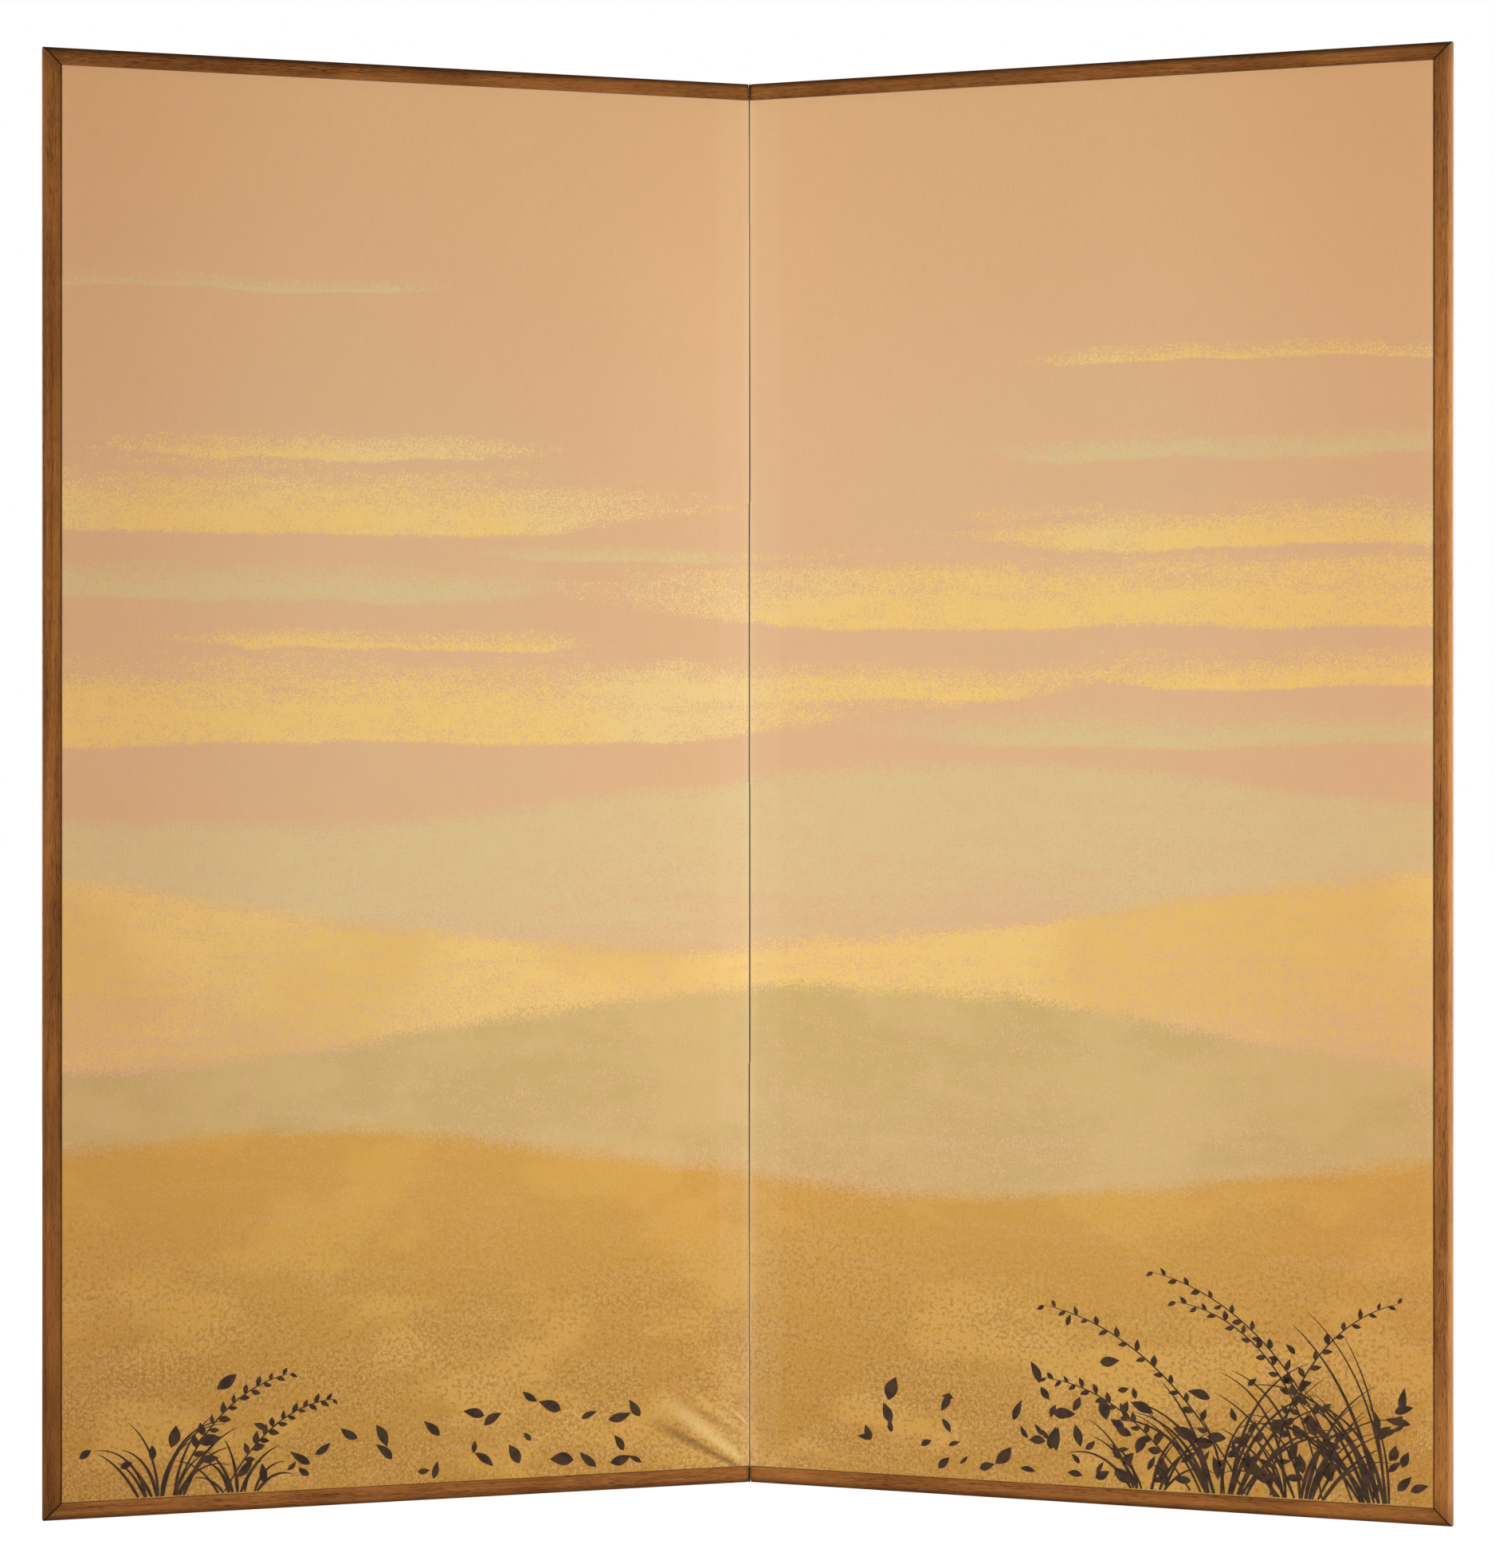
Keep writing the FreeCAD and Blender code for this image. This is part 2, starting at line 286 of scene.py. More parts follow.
def stained_oak(name, hand, grain_along):
    """Brown-stained oak, its grain along the rails or up the stiles."""
    oak = Finish(name)
    place = oak.panel_place(hand)
    wide, fine, short = (
        oak.along_grain(place, grain_along, across, lengthwise)
        for across, lengthwise in ((60.0, 2.2), (1100.0, 26.0), (1300.0, 95.0))
    )
    figure = oak.noise(wide, 1.0, 3.0, 0.55, 0.6).outputs[0]
    fibres = oak.noise(fine, 1.0, 3.0, 0.6).outputs[0]
    pores = oak.noise(short, 1.0, 2.0, 0.5).outputs[0]
    cloud = oak.noise(place, 9.0, 3.0).outputs[0]
    tone = oak.blend(oak.ease(figure, 0.36, 0.64), srgb(108, 60, 24), srgb(152, 93, 42))
    tone = oak.blend(oak.ease(fibres, 0.3, 0.75, 0.0, 0.62), tone, srgb(182, 121, 62))
    tone = oak.blend(oak.ease(cloud, 0.35, 0.7, 0.0, 0.4), tone, srgb(90, 48, 19))
    early_wood = oak.ease(figure, 0.3, 0.6, 1.0, 0.5)
    pore = oak.maths("MULTIPLY", oak.ease(pores, 0.53, 0.65), early_wood)
    tone = oak.blend(oak.maths("MULTIPLY", pore, 0.76), tone, srgb(52, 28, 11))

    along, _, height = oak.parts(place)
    from_seam = oak.maths("ABSOLUTE", along)
    from_free_side = oak.maths("SUBTRACT", panel_width, from_seam)
    from_end = oak.maths("MINIMUM", height, oak.maths("SUBTRACT", panel_height, height))
    off_mitre = oak.maths("ABSOLUTE", oak.maths("SUBTRACT", from_free_side, from_end))
    if grain_along == "x":
        # Painted shade on the rounded arrises along the rails' top and bottom edges
        painted_edge_shade = oak.ease(from_end, 1.5 * mm, 10.0 * mm, 0.54, 0.0)
        tone = oak.blend(painted_edge_shade, tone, arris_shade_brown)
        # Painted light: the bottom rails lighter than the top ones, less so towards the right rail's free
        # end
        outwards = oak.ease(from_seam, 0.35, 0.65, 1.0, 0.3 if hand == "right" else 1.0)
        lighter = oak.maths("MULTIPLY", oak.ease(height, 0.4, 1.2, 1.0, 0.0), outwards)
        tone = oak.blend(lighter, tone, lit_rail, "MULTIPLY")
    elif hand == "right":
        # Painted light on the whole right stile, and a painted highlight along its outer arris
        tone = oak.blend(1.0, tone, lit_stile, "MULTIPLY")
        rubbed = oak.ease(from_free_side, 2.0 * mm, 6.5 * mm, 0.36, 0.0)
        rubbed = oak.maths("MULTIPLY", rubbed, oak.ease(fibres, 0.3, 0.6, 0.65, 1.1))
        tone = oak.blend(rubbed, tone, srgb(206, 152, 102))
    else:
        # Painted shade along the left stile's outer arris, and darker towards the bottom
        painted_edge_shade = oak.ease(from_free_side, 1.0 * mm, 7.0 * mm, 0.35, 0.0)
        painted_edge_shade = oak.maths("ADD", painted_edge_shade, oak.ease(height, 0.0, 0.9, 0.20, 0.0))
        tone = oak.blend(painted_edge_shade, tone, patina_and_shade_brown)
    corner = oak.maths("MAXIMUM", from_free_side, from_end)
    tone = oak.blend(oak.ease(corner, 5.0 * mm, 40.0 * mm, 0.36, 0.0), tone, patina_and_shade_brown)
    # Painted shade towards the rails' ends at the seam
    near_seam = oak.ease(from_seam, 1.0 * mm, 5.0 * mm, 0.4, 0.0)
    tone = oak.blend(near_seam, tone, patina_and_shade_brown)
    joint = oak.maths(
        "MAXIMUM",
        oak.ease(off_mitre, 0.7 * mm, 1.5 * mm, 0.9, 0.0),
        oak.ease(from_seam, seam_edge + 0.05 * mm, seam_edge + 0.5 * mm, 0.9, 0.0),
    )
    tone = oak.blend(joint, tone, joint_line)
    relief = oak.maths("SUBTRACT", oak.maths("MULTIPLY", fibres, 0.4), pore)
    rough = oak.ease(pores, 0.5, 0.65, 0.70, 0.82)
    return oak.done(
        tone,
        Roughness=rough,
        Normal=oak.bump(relief, 0.00014, 0.5),
        Specular_IOR_Level=0.07,
    )


def bare_wood(name, grain_along):
    """Planed softwood of the lattice, its grain along the bars or up them."""
    wood = Finish(name)
    place = wood.object_place()
    ring = wood.noise(wood.along_grain(place, grain_along, 60.0, 1.5), 1.0, 2.0, 0.5, 0.4).outputs[0]
    fibres = wood.noise(wood.along_grain(place, grain_along, 500.0, 9.0), 1.0, 2.0).outputs[0]
    tone = wood.blend(wood.ease(ring, 0.4, 0.62), srgb(214, 183, 138), srgb(190, 150, 100))
    tone = wood.blend(wood.ease(fibres, 0.4, 0.8, 0.0, 0.5), tone, srgb(160, 122, 78))
    return wood.done(tone, Roughness=0.7, Normal=wood.bump(fibres, 0.0001, 0.4))


def smoked_bamboo():
    """Nail ends: fine dark fibre dots in a brown ground."""
    bamboo = Finish("bamboo")
    place = bamboo.object_place()
    dots = bamboo.grains(place, 4200.0).outputs["Distance"]
    cloud = bamboo.noise(place, 300.0).outputs[0]
    tone = bamboo.blend(bamboo.ease(cloud, 0.3, 0.7), srgb(84, 52, 28), srgb(118, 78, 42))
    tone = bamboo.blend(bamboo.ease(dots, 0.15, 0.35, 0.7, 0.0), tone, srgb(46, 28, 16))
    return bamboo.done(
        tone, Roughness=0.72, Normal=bamboo.bump(dots, 0.00005, 0.5), Specular_IOR_Level=0.07
    )


def mulberry_paper(name, pale, deep, fleck):
    """Handmade paper: long fibres lying every way, a cloudy body and a few darker flecks."""
    paper = Finish(name)
    place = paper.object_place()
    fibres = paper.noise(place, 420.0, 4.0, 0.7, 1.6).outputs[0]
    cloud = paper.noise(place, 22.0, 3.0).outputs[0]
    flecks = paper.grains(place, 130.0).outputs["Distance"]
    tone = paper.blend(paper.ease(cloud, 0.3, 0.7), pale, deep)
    tone = paper.blend(paper.ease(fibres, 0.52, 0.72, 0.0, 0.5), tone, pale)
    tone = paper.blend(paper.ease(flecks, 0.03, 0.09, 0.5, 0.0), tone, fleck)
    return paper.done(
        tone, Roughness=0.85, Normal=paper.bump(fibres, 0.0001, 0.5), Specular_IOR_Level=0.25
    )


# Old creases in the pictures: start and end as signed width from the seam and height,
# how far their light and shade reach at the start, and how strong each of the two is
creases = [
    ((-0.122, 0.094), (-0.010, 0.022), 0.044, 0.026, 0.44, 0.62),
    ((-0.090, 0.116), (-0.008, 0.060), 0.018, 0.022, 0.14, 0.26),
    ((-0.028, 0.092), (-0.003, 0.070), 0.008, 0.006, 0.36, 0.30),
    ((-0.044, 1.6742), (-0.037, 1.6728), 0.0015, 0.0015, 0.30, 0.36),
]
crease_end_share = 0.3


def worn_crease():
    """The hinge paper's front crease: rubbed brown along the pictures, and painted shade, nearly black,
    between the rails.
    """
    paper = Finish("crease_paper")
    place = paper.object_place()
    fibres = paper.noise(place, 600.0, 3.0, 0.6).outputs[0]
    height = paper.parts(place)[2]
    from_rail = paper.maths("MINIMUM", height, paper.maths("SUBTRACT", panel_height, height))
    rubbed = paper.blend(paper.ease(fibres, 0.35, 0.65), srgb(156, 112, 62), srgb(124, 86, 44))
    # Painted shade: the crease nearly black in the gap between the rails' ends
    rail_gap_shade = paper.ease(from_rail, frame_face - 2 * mm, frame_face + 4 * mm, 0.9, 0.0)
    tone = paper.blend(rail_gap_shade, rubbed, srgb(36, 23, 15))
    return paper.done(tone, Roughness=0.85, Specular_IOR_Level=0.1)


def picture_silk():
    """Painted silk: a peach ground under mist bands and low hills in gold and pale green dust."""
    silk = Finish("picture_silk", "2D")
    place = silk.cloth_place()

    # Grain, frayed edges, drifting clouds and fine wisps, which all the dust shares
    grain = silk.grains(place, 870.0)
    pick = silk.parts(grain.outputs["Color"])[0]
    fray = silk.noise(place, 75.0, 4.0, 0.65).outputs[0]
    drift = silk.noise(silk.stretched(place, (5.0, 9.0, 1.0)), 1.0, 4.0, 0.55)
    soft = silk.noise(place, 2.6, 3.0, 0.5).outputs[0]
    wisp = silk.noise(silk.stretched(place, (4.5, 46.0, 1.0)), 1.0, 4.0, 0.62).outputs[0]
    clump = silk.noise(silk.stretched(place, (20.0, 42.0, 1.0)), 1.0, 3.0, 0.6).outputs[0]
    sway = silk.vectors("MULTIPLY_ADD", drift.outputs["Color"], (0.12, 0.022, 0.0), (-0.06, -0.011, 0.0))
    swayed = silk.vectors("ADD", place, sway)
    along, height = silk.parts(swayed)[:2]
    true_along, true_height = silk.parts(place)[:2]

    def dusted(density, thinnest=0.78):
        """Where a grain of dust lies, for a density from 0 to 1."""
        frayed = silk.maths("MULTIPLY_ADD", silk.maths("SUBTRACT", fray, 0.5), 0.7, density)
        streaked = silk.maths("MULTIPLY_ADD", silk.maths("SUBTRACT", wisp, 0.5), 1.1, frayed)
        present = silk.maths("MULTIPLY", streaked, silk.ease(density, 0.0, 0.10))
        thinned = silk.maths("MINIMUM", present, silk.ease(clump, 0.42, 0.66, 1.05, thinnest))
        return silk.ease(silk.maths("SUBTRACT", thinned, pick), -0.08, 0.16)

    # A mist band's round ends are drawn out to long tips by this share
    end_taper = 0.16

    def band(middle, level, half_length, half_height, below, above):
        """A mist band with round ends, its dust thinning out above and below."""
        from_middle = silk.vectors("SUBTRACT", swayed, (middle, level, 0.0))
        folded = silk.vectors("ABSOLUTE", from_middle)
        beyond = silk.vectors("SUBTRACT", folded, (half_length, 0.0, 0.0))
        past_end = silk.vectors("MAXIMUM", beyond, (0.0, 0.0, 0.0))
        away = silk.length(silk.vectors("MULTIPLY", past_end, (end_taper, 1.0, 0.0)))
        upper = silk.ease(silk.maths("SUBTRACT", height, level), -half_height, half_height)
        reach = silk.maths("MULTIPLY_ADD", upper, above - below, below)
        outside = silk.maths("DIVIDE", silk.maths("SUBTRACT", away, half_height), reach)
        return silk.ease(outside, -0.6, 1.0, 1.0, 0.0)

    def heaped(*densities):
        """Several bands of dust together, denser where they lie over one another."""
        bare = silk.maths("SUBTRACT", 1.0, densities[0])
        for density in densities[1:]:
            bare = silk.maths("MULTIPLY", bare, silk.maths("SUBTRACT", 1.0, density))
        return silk.maths("SUBTRACT", 1.0, bare)

    def hill(level, rise, waves, turn, depth, foot):
        """A hill under a curved crest, dense at the crest and thinning to foot over its depth."""
        phase = silk.maths("MULTIPLY_ADD", along, waves, turn)
        crest = silk.maths("MULTIPLY_ADD", silk.maths("SINE", phase), rise, level)
        below = silk.maths("SUBTRACT", crest, height)
        body = silk.ease(below, -0.014, 0.016)
        thinning = silk.ease(below, 0.02, depth, 1.0, foot)
        return silk.maths("MULTIPLY", body, thinning)

    # Colours
    peach = srgb(229, 180, 130)
    rose = srgb(228, 184, 140)
    gold = srgb(246, 205, 122)
    pale_gold = srgb(240, 208, 140)
    deep_gold = srgb(223, 174, 82)
    green = srgb(224, 201, 144)
    leaf_green = srgb(206, 176, 112)
    bronze = srgb(213, 162, 74)
    old_gold = srgb(190, 140, 50)

    # Ground
    ground = silk.blend(silk.ease(true_height, 1.15, 1.68, 1.0, 0.0), peach, rose)
    ground = silk.blend(silk.ease(soft, 0.35, 0.7, 0.0, 0.22), ground, srgb(221, 174, 126))

    # Mist bands
    green_mist = heaped(
        band(-0.64, 1.430, 0.20, 0.002, 0.003, 0.016),
        band(0.64, 1.240, 0.22, 0.008, 0.005, 0.022),
        band(-0.60, 1.078, 0.22, 0.012, 0.006, 0.030),
        band(0.60, 0.905, 0.28, 0.012, 0.006, 0.030),
        band(-0.16, 1.118, 0.10, 0.004, 0.004, 0.020),
    )
    gold_mist = heaped(
        band(0.74, 1.345, 0.30, 0.002, 0.003, 0.020),
        band(-0.72, 1.168, 0.36, 0.022, 0.006, 0.056),
        band(-0.52, 1.236, 0.14, 0.006, 0.004, 0.030),
        band(-0.44, 1.012, 0.16, 0.004, 0.004, 0.024),
        band(0.56, 1.062, 0.42, 0.026, 0.006, 0.060),
        band(0.66, 1.140, 0.20, 0.014, 0.005, 0.040),
        band(-0.60, 0.930, 0.44, 0.030, 0.006, 0.060),
        band(0.10, 0.960, 0.16, 0.010, 0.005, 0.040),
        band(0.76, 0.975, 0.20, 0.012, 0.005, 0.034),
    )

    cloudy = silk.ease(soft, 0.42, 0.62)
    dusty_gold = silk.blend(cloudy, gold, pale_gold)
    painted = silk.blend(silk.maths("MULTIPLY", dusted(green_mist), 0.85), ground, green)
    painted = silk.blend(dusted(gold_mist), painted, dusty_gold)

    # Hills, from the far one to the near one
    far_hill = hill(0.835, 0.036, 3.6, 0.6, 0.26, 0.30)
    painted = silk.blend(silk.maths("MULTIPLY", dusted(far_hill), 0.8), painted, green)
    near_gold_hill = hill(0.700, 0.050, 3.1, 4.9, 0.24, 0.42)
    hill_gold = silk.blend(cloudy, gold, srgb(236, 193, 108))
    painted = silk.blend(silk.maths("MULTIPLY", dusted(near_gold_hill), 0.95), painted, hill_gold)
    green_hill = hill(0.560, 0.045, 3.4, 1.2, 0.30, 0.70)
    hill_green = silk.blend(silk.ease(drift.outputs[0], 0.42, 0.62), leaf_green, srgb(214, 184, 120))
    painted = silk.blend(silk.maths("MULTIPLY", dusted(green_hill), 0.92), painted, hill_green)
    front_hill = hill(0.400, 0.042, 3.7, 3.7, 0.34, 1.0)
    front_tone = silk.blend(silk.ease(true_height, 0.04, 0.42, 1.0, 0.0), bronze, old_gold)
    front_tone = silk.blend(silk.ease(drift.outputs[0], 0.46, 0.64, 0.0, 0.6), front_tone, deep_gold)
    front_dust = silk.maths("MAXIMUM", dusted(front_hill, 0.90), silk.maths("MULTIPLY", front_hill, 0.62))
    painted = silk.blend(front_dust, painted, front_tone)

    # Dark blots and worn places low down
    low_line = silk.maths("MULTIPLY_ADD", soft, 0.30, height)
    low_down = silk.ease(low_line, 0.30, 0.56, 1.0, 0.0)
    cluster = silk.noise(silk.stretched(place, (7.0, 15.0, 1.0)), 1.0, 3.0, 0.6).outputs[0]
    blot = silk.noise(place, 190.0, 1.0, 0.5).outputs[0]
    blot_line = silk.maths("MULTIPLY_ADD", cluster, 0.50, blot)
    blots = silk.maths("MULTIPLY", silk.ease(blot_line, 0.76, 0.88), low_down)
    painted = silk.blend(silk.maths("MULTIPLY", blots, 0.52), painted, srgb(160, 114, 32))
    mottle = silk.noise(place, 300.0, 2.0, 0.6).outputs[0]
    worn = silk.maths("MULTIPLY", silk.ease(mottle, 0.44, 0.66), low_down)
    worn = silk.maths("MULTIPLY", worn, silk.ease(cluster, 0.38, 0.60, 0.24, 0.52))
    painted = silk.blend(worn, painted, srgb(226, 184, 124))

    # Weave and small specks
    threads = silk.noise(silk.stretched(place, (900.0, 42.0, 1.0)), 1.0, 2.0, 0.6).outputs[0]
    cross_threads = silk.noise(silk.stretched(place, (60.0, 1000.0, 1.0)), 1.0, 1.0, 0.5).outputs[0]
    weave = silk.maths("MULTIPLY_ADD", cross_threads, 0.6, threads)
    painted = silk.blend(silk.ease(weave, 0.50, 1.10, 0.05, 0.0), painted, srgb(120, 78, 40))

    speck = silk.grains(place, 36.0)
    speck_turn = silk.parts(speck.outputs["Color"])[0]
    speck_size = silk.maths("MULTIPLY_ADD", speck_turn, 1.2, -1.176)
    near_speck = silk.maths("SUBTRACT", speck.outputs["Distance"], speck_size)
    painted = silk.blend(silk.ease(near_speck, -0.006, 0.006, 0.45, 0.0), painted, srgb(120, 82, 48))

    # Paler over the hinge flaps and at the seam, where every other section turns in over its strip
    from_seam = silk.maths("ABSOLUTE", true_along)
    over_flap = silk.ease(from_seam, 0.034, 0.044, 0.04, 0.0)
    at_seam = silk.ease(from_seam, 0.001, 0.014, 0.08, 0.0)
    painted = silk.blend(silk.maths("ADD", over_flap, at_seam), painted, srgb(255, 240, 205))
    strip_turn = math.pi / hinge_pitch
    turn = silk.maths("MULTIPLY_ADD", true_height, strip_turn, -strip_turn * hinge_lines[0])
    bare_side = silk.maths("MULTIPLY", silk.maths("SINE", turn), true_along)
    bare_edge = silk.maths("GREATER_THAN", bare_side, 0.0)
    # On the side where the sheet's edge is bare: a painted highlight where it rounds over, and painted shade
    # of the seam gap just beside the fold line
    shine = silk.maths("MULTIPLY", bare_edge, silk.ease(from_seam, 0.9 * mm, 2.2 * mm, 0.45, 0.0))
    painted = silk.blend(shine, painted, srgb(255, 236, 196))
    seam_gap_shade = silk.maths("MULTIPLY", bare_edge, silk.ease(from_seam, 0.75 * mm, 1.05 * mm, 0.7, 0.0))
    painted = silk.blend(seam_gap_shade, painted, srgb(118, 84, 50))
    # On the other side: painted shade beside the raised lip
    lap_edge = silk.maths("SUBTRACT", 1.0, bare_edge)
    lip_shade = silk.maths("MULTIPLY", lap_edge, silk.ease(from_seam, 0.6 * mm, 3.5 * mm, 0.16, 0.0))
    painted = silk.blend(lip_shade, painted, srgb(140, 96, 56))

    # Browner towards the free side, and painted shade in the angle with the frame
    browner_outwards = silk.ease(from_seam, 0.45, 0.83, 0.0, 0.20)
    painted = silk.blend(browner_outwards, painted, srgb(206, 146, 74), "MULTIPLY")
    from_side = silk.maths("SUBTRACT", free_edge, from_seam)
    from_rail = silk.maths(
        "MINIMUM",
        silk.maths("SUBTRACT", true_height, sheet_foot),
        silk.maths("SUBTRACT", sheet_head, true_height),
    )
    at_frame = silk.ease(silk.maths("MINIMUM", from_side, from_rail), 0.2 * mm, 1.1 * mm, 0.75, 0.0)
    painted = silk.blend(at_frame, painted, srgb(74, 46, 26))

    def crease(start, end, above, below):
        """Light above and shade below an old crease, from start to end."""
        run = Vector(end) - Vector(start)
        way = run.normalized()
        from_start = silk.vectors("SUBTRACT", place, (*start, 0.0))
        to_end = silk.share_along(from_start, (way.x, way.y, 0.0))
        aside = silk.share_along(from_start, (-way.y, way.x, 0.0))
        spread = silk.maths("MULTIPLY_ADD", to_end, (crease_end_share - 1.0) / run.length, 1.0)
        away = silk.maths("DIVIDE", aside, spread)
        swell = silk.maths(
            "MULTIPLY",
            silk.ease(to_end, -0.15 * run.length, 0.5 * run.length),
            silk.ease(to_end, 0.9 * run.length, 1.05 * run.length, 1.0, 0.0),
        )
        lit = silk.maths("MULTIPLY", swell, silk.ease(away, 0.0, above * 0.4))
        lit = silk.maths("MULTIPLY", lit, silk.ease(away, above * 0.4, above, 1.0, 0.0))
        dim = silk.maths("MULTIPLY", swell, silk.ease(away, -below, -below * 0.4))
        dim = silk.maths("MULTIPLY", dim, silk.ease(away, -below * 0.4, 0.0, 1.0, 0.0))
        return lit, dim

    for start, end, above, below, lit_share, dim_share in creases:
        lit, dim = crease(start, end, above, below)
        painted = silk.blend(silk.maths("MULTIPLY", lit, lit_share), painted, srgb(255, 228, 160))
        painted = silk.blend(silk.maths("MULTIPLY", dim, dim_share), painted, srgb(108, 66, 26))

    return silk.done(
        painted,
        Roughness=0.72,
        Normal=silk.bump(weave, 0.00008, 0.5),
        Specular_IOR_Level=0.3,
        Sheen_Weight=0.08,
        Sheen_Roughness=0.4,
    )


arc_radius = 24.0 * mm


def printed_paper():
    """Back paper with block-printed waves, rows of nested arcs, as on old door papers."""
    paper = Finish("back_paper", "2D")
    place = paper.cloth_place()
    scaled = paper.stretched(place, (1 / arc_radius, 1 / arc_radius, 1.0))
    across, up = paper.parts(scaled)[:2]
    first_row = paper.maths("CEIL", paper.maths("MULTIPLY_ADD", up, 2.0, -2.0))

    def arc_distance(rows_on):
        row = paper.maths("ADD", first_row, float(rows_on))
        shifted = paper.maths("ADD", across, paper.maths("MODULO", paper.maths("ADD", row, 100.0), 2.0))
        from_column = paper.maths("WRAP", shifted, 1.0, -1.0)
        over_row = paper.maths("MULTIPLY_ADD", row, -0.5, up)
        squared = paper.maths("MULTIPLY_ADD", over_row, over_row, paper.maths("POWER", from_column, 2.0))
        return paper.maths("SQRT", squared)

    nearest, middle, furthest = (arc_distance(rows_on) for rows_on in range(3))
    in_middle = paper.maths("LESS_THAN", middle, 1.0)
    in_nearest = paper.maths("LESS_THAN", nearest, 1.0)

    def chosen(share, yes, no):
        return paper.add("Mix", {0: share, 2: no, 3: yes}, data_type="FLOAT").outputs[0]

    arc = chosen(in_nearest, nearest, chosen(in_middle, middle, furthest))
    turns = paper.maths("FRACT", paper.maths("MULTIPLY", arc, 4.0))
    ring = paper.maths("ABSOLUTE", paper.maths("SUBTRACT", turns, 0.5))
    patchy = paper.noise(place, 60.0, 4.0, 0.7).outputs[0]
    print_edge = paper.maths("MULTIPLY_ADD", patchy, 0.22, 0.14)
    printed = paper.ease(paper.maths("SUBTRACT", ring, print_edge), 0.0, 0.05)
    worn_print = paper.maths("MULTIPLY", printed, paper.ease(patchy, 0.25, 0.6, 0.35, 0.85))
    fibres = paper.noise(place, 420.0, 4.0, 0.7, 1.6).outputs[0]
    cloud = paper.noise(place, 4.0, 3.0).outputs[0]
    tone = paper.blend(paper.ease(cloud, 0.3, 0.7), srgb(158, 138, 96), srgb(144, 123, 82))
    tone = paper.blend(paper.ease(fibres, 0.5, 0.75, 0.0, 0.35), tone, srgb(180, 160, 118))
    tone = paper.blend(worn_print, tone, srgb(212, 198, 160))
    return paper.done(
        tone,
        Roughness=0.8,
        Normal=paper.bump(paper.maths("MULTIPLY_ADD", printed, 0.5, fibres), 0.0001, 0.5),
        Specular_IOR_Level=0.25,
    )


def dark_foil():
    """Tarnished silver leaf: nearly black brown, rubbed through in grains."""
    foil = Finish("dark_foil")
    place = foil.object_place()
    rubbed = foil.noise(place, 520.0, 4.0, 0.7).outputs[0]
    cloud = foil.noise(place, 90.0, 2.0).outputs[0]
    tone = foil.blend(foil.ease(cloud, 0.35, 0.65), srgb(46, 31, 22), srgb(70, 50, 34))
    tone = foil.blend(foil.ease(rubbed, 0.58, 0.72, 0.0, 0.6), tone, srgb(128, 92, 50))
    rough = foil.ease(rubbed, 0.4, 0.7, 0.5, 0.75)
    return foil.done(
        tone, Roughness=rough, Normal=foil.bump(rubbed, 0.00006, 0.6), Specular_IOR_Level=0.15
    )


# The hinge paper is dark brown as painted shade for the shadowed seam between the panels; the slit bars
# below use it too
hinge_paper = mulberry_paper("hinge_paper", srgb(78, 56, 38), srgb(64, 45, 30), srgb(46, 32, 22))
crease_paper = worn_crease()
under_paper = mulberry_paper("under_paper", srgb(222, 210, 184), srgb(204, 190, 160), srgb(150, 130, 96))
rail_oak = {hand: stained_oak(f"{hand}_rail_oak", hand, "x") for hand in ("left", "right")}
stile_oak = {hand: stained_oak(f"{hand}_stile_oak", hand, "z") for hand in ("left", "right")}
bar_wood = bare_wood("lattice_wood_along", "x")
upright_wood = bare_wood("lattice_wood_upright", "z")
bamboo = smoked_bamboo()
silk = picture_silk()
wave_paper = printed_paper()
foil = dark_foil()


def finish_for(node):
    """The material of a piece that comes from the maker's drawing."""
    hand = "left" if node.startswith("left") else "right"
    if node.startswith("hinge"):
        return hinge_paper
    if "under_paper" in node:
        return under_paper
    if node.endswith("nails"):
        return bamboo
    if "frame" in node:
        return stile_oak[hand] if "stile" in node else rail_oak[hand]
    if "core" in node:
        return upright_wood if "stile" in node or "upright" in node else bar_wood
    return silk


for name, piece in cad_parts.items():
    for slot in piece.material_slots:
        slot.material = finish_for(name)


# Sheets


def graded(start, end, fine_end):
    """Places along a side: close together up to fine_end, and wider apart beyond."""
    fine = np.linspace(start, fine_end, int(round((fine_end - start) / fine_step)) + 1)
    coarse = np.linspace(fine_end, end, int(round((end - fine_end) / coarse_step)) + 1)
    return np.concatenate([fine, coarse[1:]])


def lip_reach(hand, side, z):
    """How near the fold line a sheet's seam edge comes: to the lip where a hinge strip starts here."""
    section = np.sum(z[..., None] < np.array(hinge_lines), axis=-1)
    here = (section % 2 == 0) == ((hand == "left") == (side == "front"))
    near_step = np.min(np.abs(z[..., None] - np.array(hinge_lines)), axis=-1) < lip_overlap
    return np.where(here | near_step, seam_lip, bare_lip)


# Low folds in the sheets, in millimetres: start and end of each ridge as width from the fold line
# and height, how high it stands, and how far its upper and its lower flank reach at the start
puckers = {
    ("left", "front"): [
        ((116.0, 90.0), (12.0, 22.0), 0.75, 16.0, 8.0),
        ((86.0, 112.0), (10.0, 58.0), 0.20, 9.0, 9.0),
    ],
    ("right", "front"): [
        ((46.0, 1636.0), (12.0, 1658.0), 0.25, 6.0, 3.0),
        ((792.0, 1652.0), (822.0, 1668.0), 0.25, 5.0, 3.0),
    ],
}


